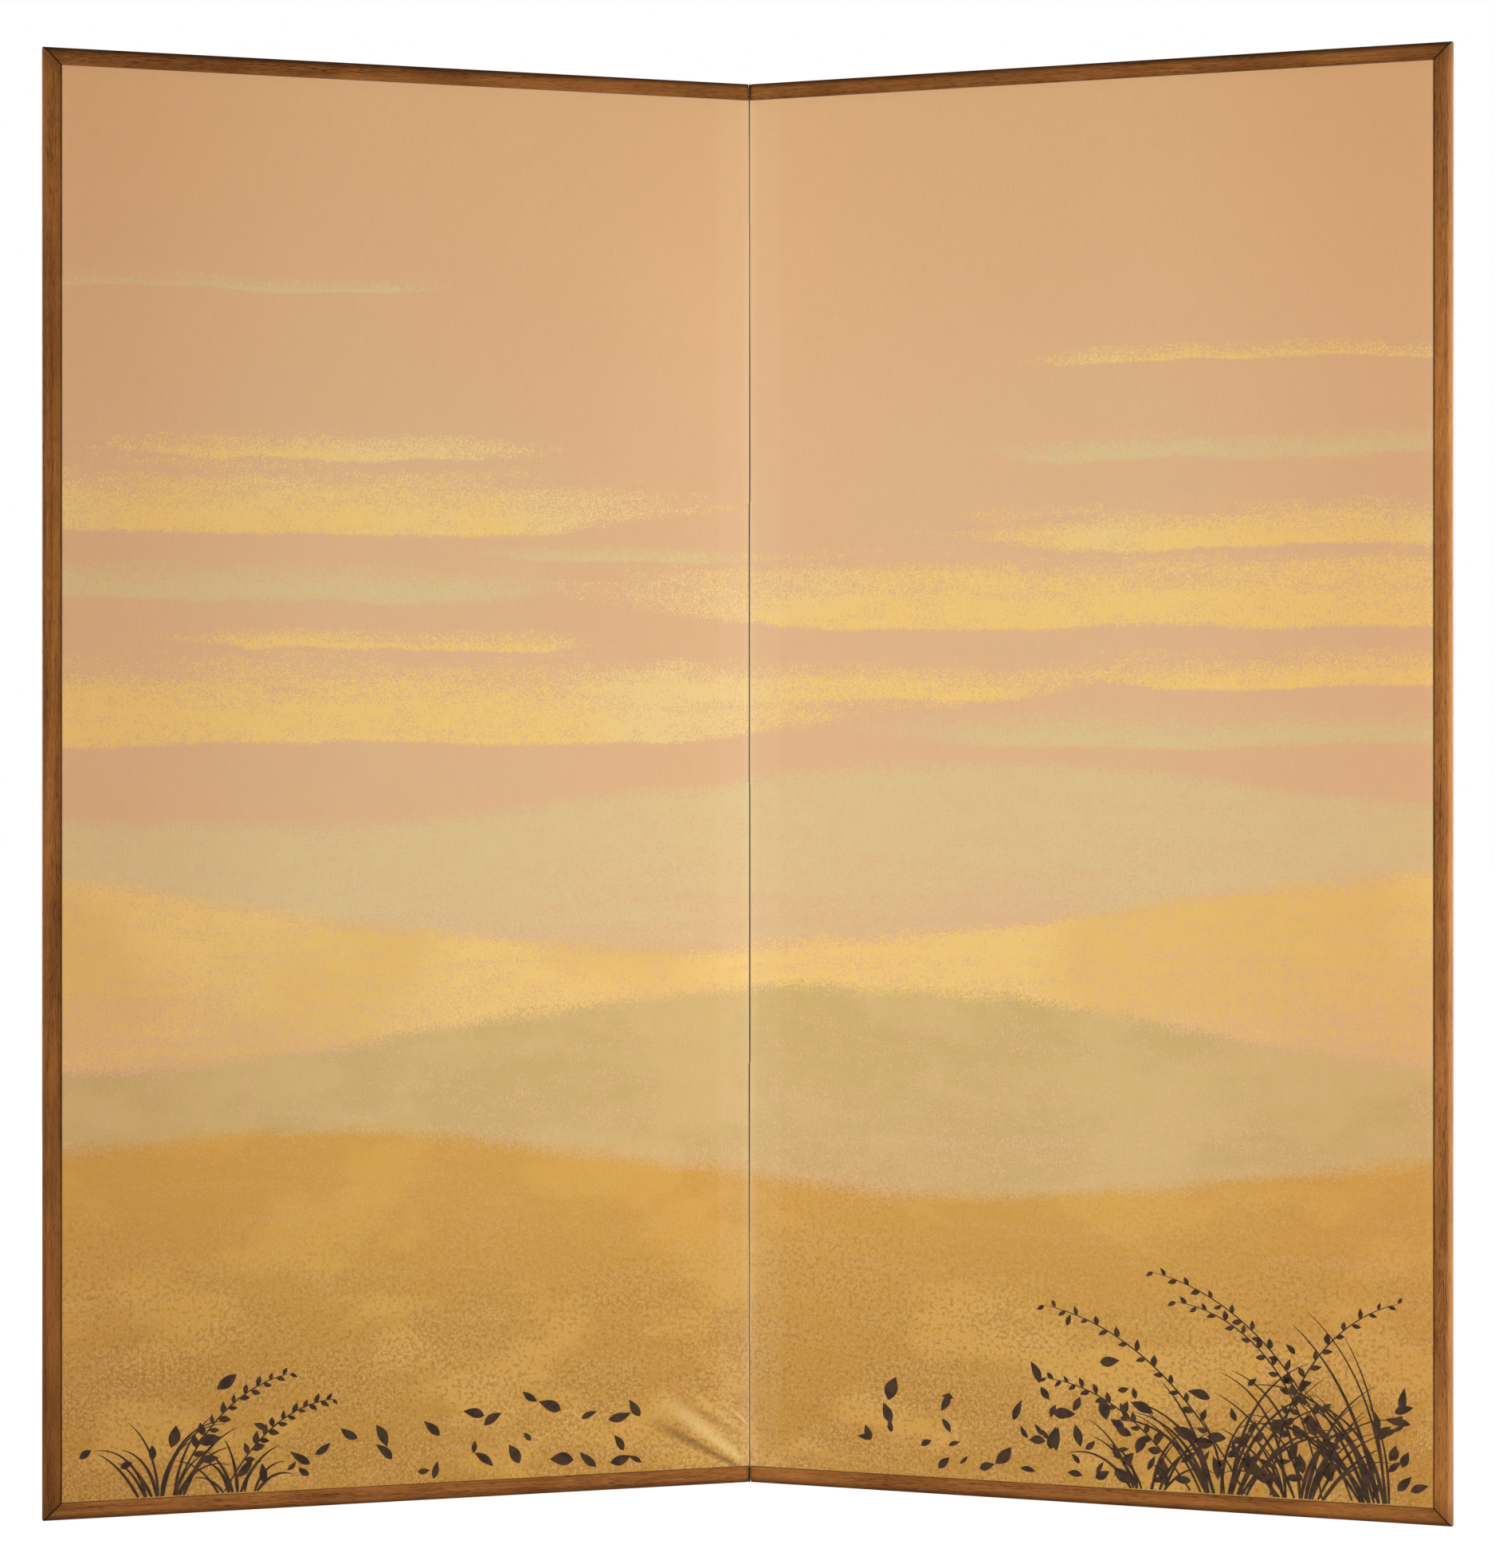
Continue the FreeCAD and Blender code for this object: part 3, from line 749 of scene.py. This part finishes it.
def pucker_height(u, z, start, end, height, upper, lower):
    """Rise of one pucker: a ridge with an upper and a lower flank, from start to its narrower end."""
    start_at, end_at = np.array(start) * mm, np.array(end) * mm
    run = end_at - start_at
    length = np.hypot(*run)
    way = run / length
    along = ((u - start_at[0]) * way[0] + (z - start_at[1]) * way[1]) / length
    level = start_at[1] + (u - start_at[0]) * run[1] / run[0]
    aside = (z - level) * abs(way[0])
    flank = np.where(aside > 0, upper, lower) * mm * (1 - (1 - crease_end_share) * np.clip(along, 0, 1))
    swell = smooth_step(-0.12, 0.5, along) * (1 - smooth_step(0.75, 1.1, along))
    return height * mm * swell * np.exp(-((aside / flank) ** 2))


def sheet_depth(hand, side, u, z):
    """How deep in the panel a sheet's outer face lies at each place."""
    rise = (1 - smooth_step(0.0, seam_lip_width, u - seam_lip)) * seam_lip_rise
    rise = rise + flap_step * (1 - smooth_step(flap_edge - flap_slope, flap_edge + flap_slope, u))
    for pucker in puckers.get((hand, side), []):
        rise = rise + pucker_height(u, z, *pucker)
    sag = sag_height * (np.sin(17 * u + 5 * z + 1) + np.sin(9 * z - 6 * u))
    inset = np.minimum.reduce([free_edge - u, z - sheet_foot, sheet_head - z])
    roll = edge_roll * (1 - smooth_step(0.0, edge_roll_width, inset))
    lift = rise - roll + sag * smooth_step(0.0, sag_free_of_edge, inset)
    return front_face - lift if side == "front" else back_face + lift


def stretched_sheet(hand, side, name, node, material):
    """A sheet on one side of a panel: a fine grid laid on the panel, shaped, and given its thickness."""
    columns = graded(seam_edge, free_edge, seam_edge + fine_reach[side])
    extra_columns = [*(seam_edge + width for width in lip_columns), free_edge - roll_line]
    columns = np.unique(np.concatenate([columns, extra_columns]))
    rows = graded(sheet_foot, sheet_head, sheet_foot + fine_reach[side])
    extra_rows = [z + step for z in hinge_lines for step in lip_rows]
    extra_rows += [sheet_foot + roll_line, sheet_head - roll_line]
    rows = np.unique(np.concatenate([rows, extra_rows]))
    nothing_selected()
    bpy.ops.mesh.primitive_grid_add(
        x_subdivisions=len(columns) - 1, y_subdivisions=len(rows) - 1, size=1, calc_uvs=True
    )
    sheet = bpy.context.object
    sheet.name = name
    mesh = sheet.data
    grid = np.empty(len(mesh.vertices) * 3)
    mesh.vertices.foreach_get("co", grid)
    grid = grid.reshape(-1, 3)
    column = np.rint((grid[:, 0] + 0.5) * (len(columns) - 1)).astype(int)
    row = np.rint((grid[:, 1] + 0.5) * (len(rows) - 1)).astype(int)
    if (hand == "left") == (side == "front"):
        column = len(columns) - 1 - column
    u, z = columns[column], rows[row]
    u = np.where(column == 0, lip_reach(hand, side, z), u)
    v = sheet_depth(hand, side, u, z)
    x, y, z = on_panel(hand, u, v, z)
    mesh.vertices.foreach_set("co", np.stack([x, y, z], 1).ravel())
    cloth = mesh.uv_layers[0]
    cloth.name = "Cloth"
    loops = np.empty(len(mesh.loops), int)
    mesh.loops.foreach_get("vertex_index", loops)
    sign = -1 if hand == "left" else 1
    flat = np.stack([sign * u[loops], z[loops]], 1)
    cloth.data.foreach_set("uv", flat.ravel())
    mesh.update()
    only(sheet)
    thick = sheet.modifiers.new("thickness", "SOLIDIFY")
    thick.thickness = dressed_thickness
    thick.offset = -1.0
    thick.use_even_offset = True
    bpy.ops.object.modifier_apply(modifier="thickness")
    bpy.ops.object.shade_smooth_by_angle(angle=sheet_smoothing)
    sheet.data.materials.clear()
    sheet.data.materials.append(material)
    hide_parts(node)
    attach(sheet, f"{hand}_panel")


for hand in ("left", "right"):
    stretched_sheet(hand, "front", f"{hand}_painted_silk", f"{hand}_picture", silk)
    stretched_sheet(hand, "back", f"{hand}_wave_paper", f"{hand}_back_paper", wave_paper)


# Creases of the hinge strips, where each one turns in from the front

crease_radius = 0.3 * mm
rail_crease_radius = 0.93 * mm
rail_crease_taper = 0.2 * mm
crease_wobble = 0.01 * mm
crease_sides = 12
crease_step = 12.0 * mm
crease_smoothing = math.radians(50)
strip_end = 1.0 * mm
strip_gap = 0.05 * mm


def crease_thickness(z):
    """Thin between the pictures, and a fuller roll of paper between the rails' ends."""
    from_rail = np.minimum(z - frame_face, panel_height - frame_face - z)
    fullness = 1 - smooth_step(0.0, rail_crease_taper, from_rail)
    wobble = crease_wobble * np.sin(z * 310.0) * np.sin(z * 47.0 + 1.0)
    return crease_radius + (rail_crease_radius - crease_radius) * fullness + wobble


def rolled_crease(number):
    """The soft roll at the front crease of one hinge strip, from one end of the strip to the other."""
    lines = [strip_end, *hinge_lines, panel_height - strip_end]
    below = strip_count - number
    foot, head = lines[below] + strip_gap, lines[below + 1] - strip_gap
    levels = np.linspace(foot, head, int((head - foot) / crease_step) + 2)
    rail_edges = (frame_face, panel_height - frame_face)
    turns = [edge + way * rail_crease_taper for edge in rail_edges for way in (-1, -0.5, 0, 0.5, 1)]
    levels = np.unique(np.concatenate([levels, [z for z in turns if foot < z < head]]))
    points = []
    for z, radius in zip(levels, crease_thickness(levels)):
        for i in range(crease_sides):
            angle = 2 * math.pi * i / crease_sides
            points.append((radius * math.cos(angle), fold_line_y + radius * math.sin(angle), z))
    faces = [list(reversed(range(crease_sides)))]
    for row in range(len(levels) - 1):
        for i in range(crease_sides):
            ahead = (i + 1) % crease_sides
            low, high = row * crease_sides, (row + 1) * crease_sides
            faces.append([low + i, low + ahead, high + ahead, high + i])
    faces.append([(len(levels) - 1) * crease_sides + i for i in range(crease_sides)])
    piece = new_piece(f"hinge_{number}_crease", points, faces, crease_paper)
    bpy.ops.object.shade_smooth_by_angle(angle=crease_smoothing)
    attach(piece, "odd_hinge_webs" if number % 2 else "even_hinge_webs")


for number in range(1, strip_count + 1):
    rolled_crease(number)


# Painted shade: dark paper bars that close the narrow slits between lattice and frame, and glue in the
# mitres

slit_fill_front = 5.2 * mm
slit_fill_back = 8.5 * mm
slit_fill_fit = 0.05 * mm
slit_fill_start = 2.0 * mm
glue_half = 0.25 * mm / math.sqrt(2)
glue_end = 0.3 * mm


def rectangle(left, right, low, high):
    """The corners of one bar of lining, as (u, z)."""
    return [(left, low), (right, low), (right, high), (left, high)]


def slit_shade_and_glue(hand):
    """Five thin bars inside one panel: beside the stile, along both rails and in both mitres."""
    stile = panel_width - frame_face
    top_rail = panel_height - frame_face
    fit = slit_fill_fit
    bars = [
        rectangle(free_edge + fit, stile - fit, frame_face + fit, top_rail - fit),
        rectangle(slit_fill_start, free_edge - fit, frame_face + fit, sheet_foot - fit),
        rectangle(slit_fill_start, free_edge - fit, sheet_head + fit, top_rail - fit),
    ]
    for corner, way in ((0.0, 1), (panel_height, -1)):
        inner, outer = (stile, frame_face), (panel_width - glue_end, glue_end)
        ends = [(inner, 1), (inner, -1), (outer, -1), (outer, 1)]
        bars.append([(u + side * glue_half, corner + way * (z + side * glue_half)) for (u, z), side in ends])
    points, faces = [], []
    for bar in bars:
        first = len(points)
        points += [on_panel(hand, u, v, z) for v in (slit_fill_front, slit_fill_back) for u, z in bar]
        faces += [[first + i for i in range(4)], [first + i for i in (7, 6, 5, 4)]]
        for i in range(4):
            ahead = (i + 1) % 4
            faces.append([first + i, first + 4 + i, first + 4 + ahead, first + ahead])
    piece = new_piece(f"{hand}_slit_shade_and_glue", points, faces, hinge_paper)
    turn_faces_outwards()
    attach(piece, f"{hand}_panel")


for hand in ("left", "right"):
    slit_shade_and_glue(hand)


# Grasses and fallen leaves of dark foil, laid on the pictures

foil_thickness = 0.12 * mm
foil_sink = 0.06 * mm
foil_layers = 7
foil_layer_step = 0.012 * mm
foil_seam_limit = 4.0 * mm
foil_side_limit = 826.0 * mm
foil_foot_limit = 20.7 * mm
fallen_from_seam = 130.0 * mm
lowest_leaf = 34.0 * mm
leaf_steps = 8
leaf_tip = 0.08 * mm
blade_tip = 0.15 * mm
blade_root = 22.2 * mm
blade_steps = 13
stem_root = 24.0 * mm
stem_width = 1.8 * mm
stem_steps = 24
stem_leaf = 15.0 * mm
blade_widths = (2.6 * mm, 5.2 * mm)
fallen_lengths = (13.0 * mm, 30.0 * mm)
root_scatter = 8.0 * mm


def cut_foil(name, hand, outlines):
    """One piece of many thin foil shapes, each an outline of (u, z) places on the picture."""
    points, faces = [], []
    for number, outline in enumerate(outlines):
        u = np.array([place[0] for place in outline])
        z = np.array([place[1] for place in outline])
        if u.max() > foil_side_limit or u.min() < foil_seam_limit or z.min() < foil_foot_limit:
            continue
        depth = sheet_depth(hand, "front", u, z)
        first = len(points)
        count = len(outline)
        top = foil_thickness + number % foil_layers * foil_layer_step
        for extra in (-top, foil_sink):
            points += [on_panel(hand, *place) for place in zip(u, depth + extra, z)]
        half = count // 2
        for i in range(half - 1):
            pair = (i, i + 1, count - 2 - i, count - 1 - i)
            faces.append([first + k for k in pair])
            faces.append([first + count + k for k in reversed(pair)])
        for i in range(count):
            ahead = (i + 1) % count
            faces.append([first + i, first + count + i, first + count + ahead, first + ahead])
    piece = new_piece(name, points, faces, foil)
    turn_faces_outwards()
    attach(piece, f"{hand}_panel")


def leaf_shape(draw, u, z, length, width, turn):
    """A pointed leaf with a slight curl, as its outline round both edges."""
    bend = draw.uniform(-0.25, 0.25)
    fullest = draw.uniform(0.7, 1.0)
    upper, lower = [], []
    for i in range(leaf_steps + 1):
        t = i / leaf_steps
        half = width / 2 * math.sin(math.pi * t ** fullest) + leaf_tip
        spine_x = (t - 0.5) * length
        spine_y = bend * length * (0.25 - (t - 0.5) ** 2)
        for edge, sign in ((upper, 1), (lower, -1)):
            x, y = spine_x, spine_y + sign * half
            across = x * math.cos(turn) - y * math.sin(turn)
            up = x * math.sin(turn) + y * math.cos(turn)
            edge.append((u + across, z + up))
    return upper + lower[::-1]


def arching_line(root_u, root_z, length, lean, curl, steps):
    """Places and headings along a stem that arches over."""
    line = []
    u, z, angle = root_u, root_z, lean
    for i in range(steps + 1):
        t = i / steps
        line.append((u, z, angle, t))
        angle += curl / steps * (0.35 + 1.3 * t)
        u += length / steps * math.sin(angle)
        z += length / steps * math.cos(angle)
    return line


def blade_shape(line, width, root_share, fineness):
    """A blade along a line, narrower at the root and fine at its tip."""
    left_edge, right_edge = [], []
    for u, z, angle, t in line:
        filled_out = root_share + (1 - root_share) * min(1.0, t * 6)
        half = width / 2 * (1 - t) ** fineness * filled_out + blade_tip
        left_edge.append((u - half * math.cos(angle), z + half * math.sin(angle)))
        right_edge.append((u + half * math.cos(angle), z - half * math.sin(angle)))
    return left_edge + right_edge[::-1]


def grass_tuft(draw, root_u, count, tallest):
    """Blades from one root, the outer ones leaning and arching more."""
    blades = []
    for i in range(count):
        share = (i + 0.5) / count * 2 - 1
        lean = share * 0.55 + draw.uniform(-0.14, 0.14)
        curl = (1.1 if lean > 0 else -1.1) * draw.uniform(0.35, 1.4)
        length = tallest * draw.uniform(0.45, 1.0) * (1 - 0.3 * abs(share))
        root = root_u + share * 0.026 + draw.uniform(-root_scatter, root_scatter)
        line = arching_line(root, blade_root, length, lean, curl, blade_steps)
        blades.append(blade_shape(line, draw.uniform(*blade_widths), 0.55, 0.7))
    return blades


def leafy_spray(draw, root_u, length, lean, curl):
    """A slender stem with small leaves set on it in turn, left and right."""
    line = arching_line(root_u, stem_root, length, lean, curl, stem_steps)
    shapes = [blade_shape(line, stem_width, 1.0, 0.4)]
    for i, (u, z, angle, t) in enumerate(line):
        if t < 0.25:
            continue
        side = 1 if i % 2 else -1
        size = stem_leaf * (1.15 - 0.5 * t) * draw.uniform(0.8, 1.15)
        heading = math.pi / 2 - angle - side * draw.uniform(0.6, 1.0)
        middle_u = u + math.cos(heading) * size * 0.52
        middle_z = z + math.sin(heading) * size * 0.52
        shapes.append(leaf_shape(draw, middle_u, middle_z, size, size * draw.uniform(0.42, 0.56), heading))
    return shapes


def fallen_leaves(draw, count, middle, spread, level_spread):
    """Single leaves strewn along the foot, thickest at the middle of their spread."""
    leaves = []
    for _ in range(count):
        u = draw.gauss(middle, spread)
        z = lowest_leaf + abs(draw.gauss(0, level_spread))
        if u < fallen_from_seam:
            continue
        length = draw.uniform(*fallen_lengths)
        width = length * draw.uniform(0.30, 0.55)
        leaves.append(leaf_shape(draw, u, z, length, width, draw.uniform(0, math.pi)))
    return leaves


draw = random.Random(11)
right_shapes = []
for root, count, tallest in ((0.770, 24, 0.25), (0.672, 20, 0.19), (0.585, 16, 0.22), (0.490, 10, 0.13)):
    right_shapes += grass_tuft(draw, root, count, tallest)
for root, length, lean, curl in (
    (0.735, 0.36, -0.35, -1.0),
    (0.700, 0.30, -0.15, -1.3),
    (0.640, 0.29, 0.1, 1.2),
    (0.610, 0.33, -0.5, -0.9),
    (0.545, 0.22, -0.6, -0.9),
):
    right_shapes += leafy_spray(draw, root, length, lean, curl)
cut_foil("right_grasses", "right", right_shapes)
left_shapes = []
for root, count, tallest in ((0.715, 14, 0.14), (0.625, 9, 0.10)):
    left_shapes += grass_tuft(draw, root, count, tallest)
for root, length, lean, curl in ((0.700, 0.20, -0.4, -1.0), (0.640, 0.17, -0.5, -1.0)):
    left_shapes += leafy_spray(draw, root, length, lean, curl)
cut_foil("left_grasses", "left", left_shapes)
cut_foil("right_leaves", "right", fallen_leaves(draw, 150, 0.62, 0.21, 0.055))
cut_foil("left_leaves", "left", fallen_leaves(draw, 44, 0.40, 0.26, 0.045))


# Studio


white = (1.0, 1.0, 1.0, 1.0)


def lamp(name, place, aim, width, height, power):
    """A white soft box at a place, turned towards its aim."""
    bpy.ops.object.light_add(type="AREA", location=place)
    light = bpy.context.object
    light.name = name
    light.data.shape = "RECTANGLE"
    light.data.size = width
    light.data.size_y = height
    light.data.energy = power
    light.data.color = white[:3]
    light.rotation_euler = (Vector(aim) - Vector(place)).to_track_quat("-Z", "Y").to_euler()


screen_middle = (0.0, 0.0, 0.85)
lamp("right_lamp", (3.20, -1.90, 0.75), screen_middle, 0.9, 1.1, 104.0)
lamp("left_lamp", (-4.20, -2.40, 0.75), screen_middle, 1.2, 1.2, 156.0)
lamp("right_back_lamp", (3.10, 3.60, 1.30), (0.2, 0.0, 0.80), 1.4, 1.4, 150.0)
lamp("left_back_lamp", (-3.10, 3.60, 1.30), (-0.2, 0.0, 0.80), 1.4, 1.4, 120.0)

# A white background, which lights the screen only faintly
room_light = 0.06
background_light = 1.0
world = bpy.data.worlds.new("studio")
bpy.context.scene.world = world
studio = Tree(world)
room = studio.add("Background", {"Color": white, "Strength": room_light})
background = studio.add("Background", {"Color": white, "Strength": background_light})
chooser = studio.add(
    "MixShader", {0: studio.seen_directly(), 1: room.outputs[0], 2: background.outputs[0]}
)
studio.add("OutputWorld", {"Surface": chooser.outputs[0]})

# A floor that glows for the camera alone, less near the screen, where it keeps the shadow
floor_size = 60.0
floor_level = -0.5 * mm
glow_near, glow_far = 1.1, 3.2
glow_at_screen = 0.82
nothing_selected()
bpy.ops.mesh.primitive_plane_add(size=floor_size, location=(0, 0, floor_level))
floor = bpy.context.object
floor.name = "studio_floor"
floor_finish = Finish("studio_floor")
from_middle = floor_finish.length(floor_finish.object_place())
glow_share = floor_finish.ease(from_middle, glow_near, glow_far, glow_at_screen, 1.0)
glow_strength = floor_finish.maths("MULTIPLY", glow_share, floor_finish.seen_directly())
glow = floor_finish.add("Emission", {"Color": white, "Strength": glow_strength})
matt = floor_finish.add("BsdfDiffuse", {"Color": (0.8, 0.8, 0.8, 1.0)})
both = floor_finish.add("AddShader", {0: glow.outputs[0], 1: matt.outputs[0]})
floor_finish.add("OutputMaterial", {"Surface": both.outputs[0]})
floor.data.materials.append(floor_finish.material)

bpy.context.scene.view_settings.view_transform = "Standard"
